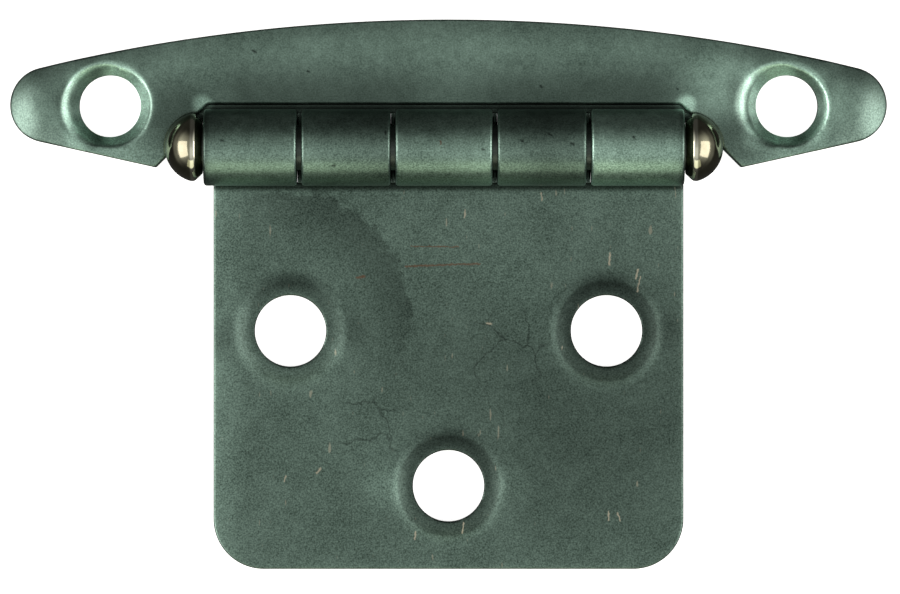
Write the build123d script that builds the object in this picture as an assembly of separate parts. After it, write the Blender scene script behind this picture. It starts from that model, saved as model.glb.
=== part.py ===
from build123d import *
import os
from math import atan2, cos, hypot, radians, sin, sqrt, tan

# Cabinet hinge with a decorative wing and a flat leaf, lying on its back, in millimetres.
# X runs along the pin, +Y points to the wing that goes on the face frame, -Y to the door leaf.
# Z = 0 is the plane of the back, +Z faces the viewer, and the origin is below the pin's middle.

# Sheet, pin and barrel
sheet = 1.2
barrel_radius = 3.05
pin_radius = 1.82
pin_running_gap = 0.03
barrel_length = 38.2
barrel_shift = -0.36
middle_knuckle = 8.1
inner_knuckle = 7.45
knuckle_gap = 0.38
knuckle_edge_break = 0.2
curl_overrun = 32.0
root_clearance = 0.25

# Wing: a pillow of sheet with its edges rolled down to the back
wing_length = 70.0
wing_rise = 10.22
wing_arc_radius = 140.0
wing_end_radius = 3.0
wing_height = 2.2
roll_radius = 0.9
ear_corner_beyond_tip = 1.16
ear_corner_y = -1.56
ear_chamfer_angle = 135.0
shoulder_y = 3.41
shoulder_slant_inside = 0.25
shoulder_slant_outside = 0.5
shoulder_corner_round = 0.5
tip_overhang = 0.03

# Countersunk dimples, whose screws go in from the front on the wing and from the back on the leaf
countersink_angle = 82.0
wing_screw_spacing = 54.0
wing_screw_y = 3.33
wing_hole_radius = 2.47
wing_head_radius = 3.55
wing_dimple_round = 1.2
wing_dimple_foot = 0.95

# Leaf: flat sheet with raised dimples
leaf_width = 37.5
leaf_reach = 33.6
leaf_corner_radius = 4.0
leaf_edge_break = 0.18
leaf_pair_spacing = 25.2
leaf_pair_y = -14.6
leaf_single_y = -26.95
leaf_hole_radius = 2.84
leaf_head_radius = 3.9
leaf_dimple_radius = 4.4
leaf_dimple_height = 0.4
leaf_dimple_lip = 0.25

# Button tips pressed on the pin's spigots
tip_radius = 2.7
tip_length = 3.0
tip_bevel_length = 0.9
tip_back_radius = 2.25
tip_end_play = 0.1
spigot_radius = 1.2
spigot_length = 1.5
spigot_end_gap = 0.1

bore_radius = pin_radius + pin_running_gap
barrel_end = barrel_length / 2
strap_end = barrel_end + shoulder_slant_outside
slot_inner_x = middle_knuckle / 2
slot_outer_x = slot_inner_x + inner_knuckle
root_y = sqrt((barrel_radius + root_clearance) ** 2 - (barrel_radius - sheet) ** 2)
half_countersink = radians(countersink_angle / 2)
wing_screw_x = (-wing_screw_spacing / 2, wing_screw_spacing / 2)
leaf_holes = (
    (-leaf_pair_spacing / 2, leaf_pair_y),
    (leaf_pair_spacing / 2, leaf_pair_y),
    (0, leaf_single_y),
)

# Distance within which two places are taken as one
touch = 0.01

tip_back_x = barrel_end + tip_end_play
tip_ridge_x = tip_back_x + tip_bevel_length
tip_end_x = tip_back_x + tip_length
tip_dome_depth = tip_length - tip_bevel_length
tip_dome_radius = (tip_radius**2 + tip_dome_depth**2) / (2 * tip_dome_depth)
tip_center_x = tip_end_x - tip_dome_radius
ear_corner_x = tip_end_x + ear_corner_beyond_tip

wing_arc_y = wing_rise - wing_arc_radius
wing_end_x = wing_length / 2 - wing_end_radius
wing_end_y = wing_arc_y + sqrt((wing_arc_radius - wing_end_radius) ** 2 - wing_end_x**2)


def block(x_from, x_to, y_from, y_to, z_from, z_to):
    """Box between two corners."""
    middle = ((x_from + x_to) / 2, (y_from + y_to) / 2, (z_from + z_to) / 2)
    return Pos(*middle) * Box(x_to - x_from, y_to - y_from, z_to - z_from)


def turned(profile, x, y):
    """A closed (radius, height) profile turned about an upright axis at x, y."""
    return Pos(x, y, 0) * revolve(Plane.XZ * make_face(profile), Axis.Z)


def polar(center, radius, angle):
    """Point on a circle, with the angle in radians."""
    return (center[0] + radius * cos(angle), center[1] + radius * sin(angle))


def curl_profile():
    """Sheet in (Y, Z) that comes from +Y behind the pin and wraps round it by way of -Y."""
    center = (0, barrel_radius)
    sweep = 270 + curl_overrun
    outside = CenterArc(center, barrel_radius, -curl_overrun, sweep)
    inside = CenterArc(center, bore_radius, -curl_overrun, sweep)
    ring = make_face([outside, inside, Line(outside @ 0, inside @ 0), Line(outside @ 1, inside @ 1)])
    strap_length = root_y + sheet
    return ring + Pos(strap_length / 2, sheet / 2) * Rectangle(strap_length, sheet)


def knuckle(x_from, x_to):
    """One rolled knuckle with its strap and broken rims."""
    solid = extrude(Plane.YZ.offset(barrel_shift + x_from) * curl_profile(), x_to - x_from)
    outside = barrel_radius - knuckle_edge_break
    rims = [edge for edge in solid.edges().filter_by(GeomType.CIRCLE) if edge.radius > outside]
    return chamfer(rims, knuckle_edge_break)


def wing_half_outline(shift):
    """Lines and arcs of one half as if it were the right one, from its lower middle to its top middle.

    The barrel's end, its tip and their notch stand shift further out than in a centred barrel.
    """
    notch_center = (tip_center_x + shift, 0)
    notch_radius = tip_radius - tip_overhang
    corner = (ear_corner_x, ear_corner_y)
    end_center = (wing_end_x, wing_end_y)

    slant_x = strap_end + shift
    slant_bottom = (slant_x, sqrt(notch_radius**2 - (slant_x - tip_center_x) ** 2))
    slant_top = (barrel_end - shoulder_slant_inside + shift, shoulder_y)

    # The chamfer from the ear's corner meets the notch arc
    way = (cos(radians(ear_chamfer_angle)), sin(radians(ear_chamfer_angle)))
    off = (corner[0] - notch_center[0], corner[1])
    along = off[0] * way[0] + off[1] * way[1]
    reach = -along - sqrt(along**2 - off[0] ** 2 - off[1] ** 2 + notch_radius**2)
    chamfer_end = (corner[0] + reach * way[0], corner[1] + reach * way[1])
    start_angle = atan2(chamfer_end[1], chamfer_end[0] - notch_center[0])
    end_angle = atan2(slant_bottom[1], slant_bottom[0] - notch_center[0])
    notch_middle = polar(notch_center, notch_radius, (start_angle + end_angle) / 2)

    # The ear's lower edge is tangent to its round end
    to_end = (end_center[0] - corner[0], end_center[1] - corner[1])
    distance = hypot(*to_end)
    tangent_length = sqrt(distance**2 - wing_end_radius**2)
    edge_angle = atan2(to_end[1], to_end[0]) - atan2(wing_end_radius, tangent_length)
    edge_end = polar(end_center, wing_end_radius, edge_angle - radians(90))
    # The long edge runs from the round end up to the wing's peak
    end_of_arc = atan2(wing_end_y - wing_arc_y, wing_end_x)
    arc_end = polar((0, wing_arc_y), wing_arc_radius, end_of_arc)
    arc_middle = polar((0, wing_arc_y), wing_arc_radius, (end_of_arc + radians(90)) / 2)

    return [
        Line((0, shoulder_y), slant_top),
        Line(slant_top, slant_bottom),
        ThreePointArc(slant_bottom, notch_middle, chamfer_end),
        Line(chamfer_end, corner),
        Line(corner, edge_end),
        ThreePointArc(edge_end, (wing_length / 2, wing_end_y), arc_end),
        ThreePointArc(arc_end, arc_middle, (0, wing_rise)),
    ]


def wing_outline():
    """Both halves of the outline with the two shoulder corners rounded."""
    right = wing_half_outline(barrel_shift)
    left = [edge.mirror(Plane.YZ) for edge in wing_half_outline(-barrel_shift)]
    face = make_face(right + left)
    corners = [
        vertex
        for vertex in face.vertices()
        if abs(vertex.Y - shoulder_y) < touch and abs(vertex.X) > touch
    ]
    return fillet(corners, shoulder_corner_round)


def wing_pillow():
    """Solid pillow with its long edge, its round ends and the ears' lower edges rolled down."""
    solid = extrude(wing_outline(), wing_height)
    top = [edge for edge in solid.edges() if edge.bounding_box().min.Z > wing_height - touch]
    return fillet([edge for edge in top if is_outer(edge.center())], roll_radius)


def is_outer(middle):
    """Above the shoulder, or further out than the ears' lower corners."""
    return middle.Y > shoulder_y + touch or abs(middle.X) > ear_corner_x


def wing_cavity():
    """Hollow behind the sheet, with the feet of the dimples left standing in it."""
    cavity = extrude(offset(wing_outline(), -sheet), wing_height - sheet)
    foot = wing_hole_radius + wing_dimple_foot
    rise = foot + wing_height * tan(half_countersink)
    for x in wing_screw_x:
        cavity -= Pos(x, wing_screw_y, wing_height / 2) * Cone(foot, rise, wing_height)
    return cavity


def wing_countersink(x):
    """Space of the screw hole: land, cone and the rounded shoulder of the pressed sheet."""
    land_top = wing_height - (wing_head_radius - wing_hole_radius) / tan(half_countersink)
    tangent = wing_dimple_round * tan(radians(90) / 2 - half_countersink / 2)
    rim = (wing_head_radius + tangent, wing_height)
    cone_end = (
        wing_head_radius - tangent * sin(half_countersink),
        wing_height - tangent * cos(half_countersink),
    )
    above = wing_height + sheet
    profile = [
        Line((0, -sheet), (wing_hole_radius, -sheet)),
        Line((wing_hole_radius, -sheet), (wing_hole_radius, land_top)),
        Line((wing_hole_radius, land_top), cone_end),
        TangentArc(rim, cone_end, tangent=(-1, 0)),
        Line(rim, (rim[0], above)),
        Line((rim[0], above), (0, above)),
        Line((0, above), (0, -sheet)),
    ]
    return turned(profile, x, wing_screw_y)


def frame_wing():
    """Pillow, back strap behind the barrel, and the outer and middle knuckles."""
    wing = wing_pillow() - wing_cavity()
    back = block(-strap_end, strap_end, root_y, shoulder_y + sheet, 0, sheet)
    wing += Pos(barrel_shift, 0, 0) * back
    inner = slot_inner_x - knuckle_gap / 2
    outer = slot_outer_x + knuckle_gap / 2
    for span in ((-barrel_end, -outer), (-inner, inner), (outer, barrel_end)):
        wing += knuckle(*span)
    for x in wing_screw_x:
        wing -= wing_countersink(x)
    return wing


def leaf_dimple(x, y):
    """Raised rim round a hole: a slope up to a narrow flat lip."""
    top = sheet + leaf_dimple_height
    profile = Polyline(
        (0, sheet / 2),
        (leaf_dimple_radius, sheet / 2),
        (leaf_dimple_radius, sheet),
        (leaf_hole_radius + leaf_dimple_lip, top),
        (0, top),
        close=True,
    )
    return turned(profile.edges(), x, y)


def leaf_countersink(x, y):
    """Space of the screw hole, wide at the back."""
    land = (leaf_head_radius - leaf_hole_radius) / tan(half_countersink)
    beyond = leaf_head_radius + sheet * tan(half_countersink)
    top = 2 * sheet + leaf_dimple_height
    profile = Polyline(
        (0, -sheet),
        (beyond, -sheet),
        (leaf_hole_radius, land),
        (leaf_hole_radius, top),
        (0, top),
        close=True,
    )
    return turned(profile.edges(), x, y)


def door_leaf():
    """Flat plate with three raised screw dimples and the two knuckles between the wing's."""
    half_width = leaf_width / 2
    plate = block(-half_width, half_width, -leaf_reach, -root_y, 0, sheet)
    far_corners = plate.edges().filter_by(Axis.Z).group_by(Axis.Y)[0]
    plate = fillet(far_corners, leaf_corner_radius)
    front = plate.faces().sort_by(Axis.Z)[-1]
    rim = [edge for edge in front.edges() if edge.center().Y < -root_y - touch]
    plate = chamfer(rim, leaf_edge_break)
    for hole in leaf_holes:
        plate += leaf_dimple(*hole)
    inner = slot_inner_x + knuckle_gap / 2
    outer = slot_outer_x - knuckle_gap / 2
    for span in ((-outer, -inner), (inner, outer)):
        plate += knuckle(*span).mirror(Plane.XZ)
    for hole in leaf_holes:
        plate -= leaf_countersink(*hole)
    return plate


def hinge_pin():
    """Plain rod with a spigot turned down at each end."""
    rod = Cylinder(pin_radius, 2 * tip_back_x)
    rod += Cylinder(spigot_radius, 2 * (tip_back_x + spigot_length))
    return Pos(barrel_shift, 0, barrel_radius) * Rot(0, 90, 0) * rod


def pin_tip():
    """Button with a bevelled back on a centred pin's right end, with a blind bore for the spigot."""
    bore_end = tip_back_x + spigot_length + spigot_end_gap
    ridge_angle = atan2(tip_radius, tip_ridge_x - tip_center_x)
    ridge = (tip_ridge_x, tip_radius)
    apex = (tip_end_x, 0)
    profile = [
        Line((bore_end, 0), (bore_end, spigot_radius)),
        Line((bore_end, spigot_radius), (tip_back_x, spigot_radius)),
        Line((tip_back_x, spigot_radius), (tip_back_x, tip_back_radius)),
        Line((tip_back_x, tip_back_radius), ridge),
        ThreePointArc(ridge, polar((tip_center_x, 0), tip_dome_radius, ridge_angle / 2), apex),
        Line(apex, (bore_end, 0)),
    ]
    return Pos(0, 0, barrel_radius) * revolve(make_face(profile), Axis.X)


parts = {
    "frame_wing": frame_wing(),
    "door_leaf": door_leaf(),
    "hinge_pin": hinge_pin(),
    "right_pin_tip": Pos(barrel_shift, 0, 0) * pin_tip(),
    "left_pin_tip": Pos(barrel_shift, 0, 0) * pin_tip().mirror(Plane.YZ),
}

os.makedirs("parts", exist_ok=True)
for name, solid in parts.items():
    export_step(solid, f"parts/{name}.step")
    print(name, round(solid.volume, 1), "mm3")
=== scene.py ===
import math
import bmesh
import bpy
import numpy as np
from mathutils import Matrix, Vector
from mathutils.geometry import delaunay_2d_cdt


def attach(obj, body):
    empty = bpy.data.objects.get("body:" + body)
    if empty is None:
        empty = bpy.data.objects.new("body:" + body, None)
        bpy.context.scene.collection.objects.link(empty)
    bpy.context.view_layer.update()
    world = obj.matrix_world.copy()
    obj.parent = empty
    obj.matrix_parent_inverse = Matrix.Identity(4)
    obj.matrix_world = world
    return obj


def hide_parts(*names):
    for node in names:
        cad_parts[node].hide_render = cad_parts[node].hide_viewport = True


# Cabinet hinge: the pressed wing, the leaf, five rolled knuckles and two polished button tips.
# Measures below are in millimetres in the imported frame: X along the pin, +Y to the wing, +Z to the viewer.
mm = 0.001
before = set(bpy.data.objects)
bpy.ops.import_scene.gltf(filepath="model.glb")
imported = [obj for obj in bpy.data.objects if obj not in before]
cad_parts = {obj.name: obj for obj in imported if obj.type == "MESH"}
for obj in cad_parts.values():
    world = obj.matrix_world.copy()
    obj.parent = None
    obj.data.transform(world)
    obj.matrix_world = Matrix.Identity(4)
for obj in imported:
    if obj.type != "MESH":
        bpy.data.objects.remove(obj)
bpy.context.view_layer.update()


# Numpy helpers for flat shapes

def polarPoint(center, radius, degrees):
    angle = math.radians(degrees)
    return (center[0] + radius * math.cos(angle), center[1] + radius * math.sin(angle))


def arcPoints(center, radius, start, end, spacing):
    count = max(2, int(abs(math.radians(end - start)) * radius / spacing) + 1)
    return [polarPoint(center, radius, start + (end - start) * i / count) for i in range(count + 1)]


def linePoints(start, end, spacing):
    count = max(1, int(math.dist(start, end) / spacing))
    return [tuple(np.array(start) + (np.array(end) - np.array(start)) * i / count) for i in range(count + 1)]


def cornerPoints(before, corner, after, radius, spacing):
    # A round of the given radius where two straight lines meet
    corner = np.array(corner)
    wayIn = (np.array(before) - corner) / math.dist(before, corner)
    wayOut = (np.array(after) - corner) / math.dist(after, corner)
    half = math.acos(float(np.clip(wayIn @ wayOut, -1, 1))) / 2
    bisector = (wayIn + wayOut) / np.linalg.norm(wayIn + wayOut)
    center = corner + bisector * radius / math.sin(half)
    first = corner + wayIn * radius / math.tan(half) - center
    last = corner + wayOut * radius / math.tan(half) - center
    start = math.degrees(math.atan2(first[1], first[0]))
    turn = (math.degrees(math.atan2(last[1], last[0])) - start + 180) % 360 - 180
    return arcPoints(tuple(center), radius, start, start + turn, spacing)


def joined(*runs):
    # Runs of points in one, with no point twice
    points = []
    for run in runs:
        for point in run:
            if not points or math.dist(point, points[-1]) > 0.004:
                points.append((float(point[0]), float(point[1])))
    return points


def distanceTo(points, start, end):
    # Least distance from each point to a set of segments
    best = np.full(len(points), 1e9)
    way = end - start
    length = (way**2).sum(1) + 1e-12
    for first in range(0, len(points), 1500):
        chunk = points[first:first + 1500, None, :]
        along = np.clip(((chunk - start) * way).sum(2) / length, 0, 1)
        gap = np.linalg.norm(chunk - start - along[..., None] * way, axis=2)
        best[first:first + 1500] = gap.min(1)
    return best


def insideLoop(points, loop):
    # Whether each point lies inside the loop, by how many edges a line from it crosses
    inside = np.zeros(len(points), bool)
    for (x1, y1), (x2, y2) in zip(loop, np.roll(loop, -1, 0)):
        crosses = (y1 > points[:, 1]) != (y2 > points[:, 1])
        inside ^= crosses & (points[:, 0] < (x2 - x1) * (points[:, 1] - y1) / (y2 - y1 + 1e-15) + x1)
    return inside


def smoothLower(a, b, blend):
    # The lower of two heights, with the crease between them eased
    share = np.clip(blend - np.abs(a - b), 0, None) / blend
    return np.minimum(a, b) - share**2 * blend / 4


def easeStep(low, high, value):
    # 0 up to the low value, 1 from the high one, and eased between
    t = np.clip((value - low) / (high - low), 0, 1)
    return t * t * (3 - 2 * t)


# Pressed sheet: one closed mesh between a front height and a back height over a flat outline

def insetRing(loop, depth, start, end):
    # Points a given depth inside the outline, without those that fall near another edge of it
    before, after = np.roll(loop, 1, 0), np.roll(loop, -1, 0)
    way = after - before
    normal = np.stack([-way[:, 1], way[:, 0]], 1) / np.linalg.norm(way, axis=1)[:, None]
    ring = loop + normal * depth
    return ring[distanceTo(ring, start, end) > depth - 0.02]


def pressedSheet(name, outline, holes, insets, ringRadii, gridStep, frontHeight, backHeight):
    # Points close together by the edges and round the holes and on a plain grid between, all triangulated
    loop = np.array(outline)
    start, end = loop, np.roll(loop, -1, 0)
    loops = [loop]
    for center, radius in holes:
        loops.append(np.array(arcPoints(center, radius, 0, 360, 0.22)[:-1]))
    scattered = [insetRing(loop, depth, start, end) for depth in insets]
    for center, _ in holes:
        for radius in ringRadii:
            scattered.append(np.array(arcPoints(center, radius, 0, 360, 0.24)[:-1]))
    low, high = loop.min(0), loop.max(0)
    xs, ys = np.arange(low[0], high[0], gridStep), np.arange(low[1], high[1], gridStep)
    grid = np.stack(np.meshgrid(xs, ys), 2).reshape(-1, 2)
    keep = distanceTo(grid, start, end) > max(insets) + gridStep / 3
    for center, radius in holes:
        keep &= np.linalg.norm(grid - center, axis=1) > max(ringRadii) + gridStep / 3
    scattered.append(grid[keep])
    loose = np.concatenate(scattered)
    keep = insideLoop(loose, loop) & (distanceTo(loose, start, end) > 0.02)
    for center, radius in holes:
        keep &= np.linalg.norm(loose - center, axis=1) > radius + 0.02
    loose = loose[keep]

    edges, base = [], 0
    for ring in loops:
        count = len(ring)
        edges += [(base + i, base + (i + 1) % count) for i in range(count)]
        base += count
    flat = np.concatenate(loops + [loose])
    made = delaunay_2d_cdt([Vector(p) for p in flat], edges, [], 0, 1e-5)
    points = np.array([tuple(p) for p in made[0]])
    faces = np.array(made[2])
    middle = points[faces].mean(1)
    keep = insideLoop(middle, loop)
    for center, radius in holes:
        keep &= ~insideLoop(middle, np.array(arcPoints(center, radius, 0, 360, 0.22)[:-1]))
    faces = faces[keep]

    front = np.column_stack([points, frontHeight(points)])
    back = np.column_stack([points, backHeight(points)])
    count = len(points)
    # An edge used by one triangle only is the outline or a hole, and gets a wall
    seen = {}
    for a, b, c in faces:
        for edge in ((a, b), (b, c), (c, a)):
            seen[edge] = True
    walls = [(b, a, a + count, b + count) for a, b in seen if (b, a) not in seen]
    allFaces = [tuple(f) for f in faces] + [(c + count, b + count, a + count) for a, b, c in faces] + walls
    corners = (np.concatenate([front, back]) * mm).tolist()
    mesh = bpy.data.meshes.new(name)
    mesh.from_pydata(corners, [], [tuple(map(int, f)) for f in allFaces])
    work = bmesh.new()
    work.from_mesh(mesh)
    bmesh.ops.delete(work, geom=[v for v in work.verts if not v.link_faces], context="VERTS")
    bmesh.ops.recalc_face_normals(work, faces=work.faces)
    work.to_mesh(mesh)
    work.free()
    return mesh


# Node trees, and the settings that many nodes share

times = {"operation": "MULTIPLY"}
plus = {"operation": "ADD"}
minus = {"operation": "SUBTRACT"}
timesPlus = {"operation": "MULTIPLY_ADD"}
most = {"operation": "MAXIMUM"}
least = {"operation": "MINIMUM"}
absolute = {"operation": "ABSOLUTE"}
distance = {"operation": "DISTANCE"}
scaled = {"operation": "SCALE"}
smooth = {"interpolation_type": "SMOOTHSTEP"}
mixValue = {"data_type": "FLOAT"}
mixColor = {"data_type": "RGBA"}


def addNode(tree, kind, settings=None, links=None):
    # One node with its settings, its plain input values and its links
    node = tree.nodes.new(kind)
    for key, value in (settings or {}).items():
        setattr(node, key, value)
    for key, value in (links or {}).items():
        socket = node.inputs[key]
        if isinstance(value, bpy.types.NodeSocket):
            tree.links.new(value, socket)
        else:
            socket.default_value = value
    return node


def treeInput(tree, name, kind, value=None):
    socket = tree.interface.new_socket(name, in_out="INPUT", socket_type=kind)
    if value is not None:
        socket.default_value = value


def evaluated(source, tree, values, meshName):
    # The tree's result on an object, as a plain mesh
    modifier = source.modifiers.new("shape", "NODES")
    modifier.node_group = tree
    names = {item.name: item.identifier for item in tree.interface.items_tree if item.item_type == "SOCKET"}
    for name, value in values.items():
        modifier[names[name]] = value
    source.update_tag()
    depsgraph = bpy.context.evaluated_depsgraph_get()
    mesh = bpy.data.meshes.new_from_object(source.evaluated_get(depsgraph))
    mesh.name = meshName
    source.modifiers.remove(modifier)
    return mesh


def product(tree, factors):
    # All the values multiplied, in turn
    total = factors[0]
    for factor in factors[1:]:
        total = addNode(tree, "ShaderNodeMath", times, {0: total, 1: factor}).outputs[0]
    return total


def linearColor(hexText):
    # A color such as #9db8ab in linear light, with full cover
    parts = [int(hexText[i:i + 2], 16) / 255 for i in (1, 3, 5)]
    return [c / 12.92 if c <= 0.04045 else ((c + 0.055) / 1.055) ** 2.4 for c in parts] + [1.0]


# Barrel: strips of the sheet curled round the pin, each swept along the curl

barrel = {
    "radius": 3.05,
    "sheet": 1.2,
    "overrun": 32.0,
    "strap": 2.9,
    "rimRound": 0.25,
    "stripLength": 7.4,
    "shift": -0.36,
    "end": 19.1,
    "tabWidth": 0.375,
    "slots": (-11.5, -4.05, 4.05, 11.5),
    # Each knuckle's middle and length
    "wingRuns": ((-15.395, 7.41), (0.0, 7.72), (15.395, 7.41)),
    "leafRuns": ((-7.775, 7.07), (7.775, 7.07)),
    "steps": 110,
}


def curlTree():
    # A strip of sheet swept along its strap and curl, set at each point and stretched to that knuckle
    tree = bpy.data.node_groups.new("rolled knuckles", "GeometryNodeTree")
    treeInput(tree, "Geometry", "NodeSocketGeometry")
    for name in ("Axis Height", "Sheet", "Strap", "Sweep", "Length", "Rim Round", "Turned"):
        treeInput(tree, name, "NodeSocketFloat", 0.0)
    treeInput(tree, "Steps", "NodeSocketInt", 64)
    treeInput(tree, "Finish", "NodeSocketMaterial")
    tree.interface.new_socket("Geometry", in_out="OUTPUT", socket_type="NodeSocketGeometry")
    given = addNode(tree, "NodeGroupInput").outputs

    # The curl's middle line: a straight strap, then an arc, laid out by its length
    halfSheet = product(tree, (given["Sheet"], 0.5))
    arcRadius = addNode(tree, "ShaderNodeMath", minus, {0: given["Axis Height"], 1: halfSheet}).outputs[0]
    arcLength = product(tree, (arcRadius, given["Sweep"]))
    total = addNode(tree, "ShaderNodeMath", plus, {0: arcLength, 1: given["Strap"]}).outputs[0]
    lineEnd = addNode(tree, "ShaderNodeCombineXYZ", None, {"X": total}).outputs[0]
    line = addNode(tree, "GeometryNodeCurvePrimitiveLine", None, {"End": lineEnd}).outputs[0]
    line = addNode(tree, "GeometryNodeResampleCurve", None, {
        "Curve": line, "Count": given["Steps"]}).outputs[0]
    place = addNode(tree, "GeometryNodeInputPosition").outputs[0]
    along = addNode(tree, "ShaderNodeSeparateXYZ", None, {0: place}).outputs["X"]
    past = addNode(tree, "ShaderNodeMath", minus, {0: along, 1: given["Strap"]}).outputs[0]
    onArc = addNode(tree, "ShaderNodeMath", most, {0: past, 1: 0.0}).outputs[0]
    onStrap = addNode(tree, "ShaderNodeMath", least, {0: past, 1: 0.0}).outputs[0]
    angle = addNode(tree, "ShaderNodeMath", {"operation": "DIVIDE"}, {0: onArc, 1: arcRadius}).outputs[0]
    sine = addNode(tree, "ShaderNodeMath", {"operation": "SINE"}, {0: angle}).outputs[0]
    cosine = addNode(tree, "ShaderNodeMath", {"operation": "COSINE"}, {0: angle}).outputs[0]
    across = addNode(tree, "ShaderNodeMath", timesPlus, {0: sine, 1: arcRadius, 2: onStrap}).outputs[0]
    across = product(tree, (across, -1.0))
    up = product(tree, (cosine, arcRadius, -1.0))
    curled = addNode(tree, "ShaderNodeCombineXYZ", None, {"X": across, "Y": up}).outputs[0]
    path = addNode(tree, "GeometryNodeSetPosition", None, {
        "Geometry": line, "Position": curled}).outputs[0]
    path = addNode(tree, "GeometryNodeSetCurveNormal", {"mode": "Z_UP"}, {"Curve": path}).outputs[0]

    # The strip's section, with rounded rims
    section = addNode(tree, "GeometryNodeCurvePrimitiveQuadrilateral", None, {
        "Width": given["Sheet"], "Height": given["Length"]}).outputs[0]
    section = addNode(tree, "GeometryNodeFilletCurve", {"mode": "POLY"}, {
        "Curve": section, "Radius": given["Rim Round"], "Count": 5}).outputs[0]
    strip = addNode(tree, "GeometryNodeCurveToMesh", None, {
        "Curve": path, "Profile Curve": section, "Fill Caps": True}).outputs[0]
    lift = addNode(tree, "ShaderNodeCombineXYZ", None, {"Z": given["Axis Height"]}).outputs[0]
    upright = (math.radians(90), 0, math.radians(90))
    strip = addNode(tree, "GeometryNodeTransform", None, {
        "Geometry": strip, "Translation": lift, "Rotation": upright}).outputs[0]

    # One strip at each point, stretched to that knuckle's own length
    run = addNode(tree, "GeometryNodeInputNamedAttribute", {"data_type": "FLOAT"}, {
        "Name": "run"}).outputs[0]
    stretch = addNode(tree, "ShaderNodeMath", {"operation": "DIVIDE"}, {
        0: run, 1: given["Length"]}).outputs[0]
    size = addNode(tree, "ShaderNodeCombineXYZ", None, {"X": stretch, "Y": 1.0, "Z": 1.0}).outputs[0]
    turned = addNode(tree, "ShaderNodeCombineXYZ", None, {"Z": given["Turned"]}).outputs[0]
    placed = addNode(tree, "GeometryNodeInstanceOnPoints", None, {
        "Points": given["Geometry"], "Instance": strip, "Rotation": turned, "Scale": size}).outputs[0]
    real = addNode(tree, "GeometryNodeRealizeInstances", None, {"Geometry": placed}).outputs[0]
    done = addNode(tree, "GeometryNodeSetMaterial", None, {
        "Geometry": real, "Material": given["Finish"]}).outputs[0]
    addNode(tree, "NodeGroupOutput", None, {"Geometry": done})
    return tree


def knuckleMesh(tree, runs, turned, finish, name):
    # The knuckles of one half, each from its middle and length
    source = bpy.data.objects.new(name, bpy.data.meshes.new(name))
    source.data.from_pydata([((x + barrel["shift"]) * mm, 0, 0) for x, _ in runs], [], [])
    lengths = [length * mm for _, length in runs]
    source.data.attributes.new("run", "FLOAT", "POINT").data.foreach_set("value", lengths)
    bpy.context.scene.collection.objects.link(source)
    values = {
        "Axis Height": barrel["radius"] * mm,
        "Sheet": barrel["sheet"] * mm,
        "Strap": barrel["strap"] * mm,
        "Sweep": math.radians(270 + barrel["overrun"]),
        "Length": barrel["stripLength"] * mm,
        "Rim Round": barrel["rimRound"] * mm,
        "Turned": math.radians(turned),
        "Steps": barrel["steps"],
        "Finish": finish,
    }
    mesh = evaluated(source, tree, values, name)
    bpy.data.objects.remove(source)
    return mesh


def finishedPiece(name, meshes, finish, body, node, sharpAngle=38):
    # The meshes in one object that stands for a CAD node
    work = bmesh.new()
    for mesh in meshes:
        work.from_mesh(mesh)
    for face in work.faces:
        face.material_index = 0
        face.smooth = True
    whole = bpy.data.meshes.new(name)
    work.to_mesh(whole)
    work.free()
    whole.materials.append(finish)
    whole.set_sharp_from_angle(angle=math.radians(sharpAngle))
    piece = bpy.data.objects.new(name, whole)
    bpy.context.scene.collection.objects.link(piece)
    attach(piece, body)
    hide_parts(node)
    print(f"{name}: {len(whole.polygons)} faces")


def stripMesh(name, x1, x2, y1, y2, z1, z2):
    # A plain length of the sheet with softened edges
    work = bmesh.new()
    bmesh.ops.create_cube(work, size=1)
    for vert in work.verts:
        for axis, (low, high) in enumerate(((x1, x2), (y1, y2), (z1, z2))):
            vert.co[axis] = (low + high) / 2 * mm + vert.co[axis] * (high - low) * mm
    bmesh.ops.bevel(work, geom=work.edges[:], offset=0.1 * mm, segments=3, profile=0.5, affect="EDGES")
    mesh = bpy.data.meshes.new(name)
    work.to_mesh(mesh)
    work.free()
    return mesh


def slotFeet(side):
    # The slots between the knuckles end in uncut sheet, so that little light comes through them, and the
    # painted fold shade darkens that sheet
    half = barrel["tabWidth"] / 2
    low, high = sorted((side * 1.7, side * 2.85))
    feet = []
    for place in barrel["slots"]:
        x = place + barrel["shift"]
        feet.append(stripMesh("slot foot", x - half, x + half, low, high, 0.02, 1.18))
    return feet


# Wing: a pillow of sheet with rolled edges and two countersunk dimples

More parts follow.
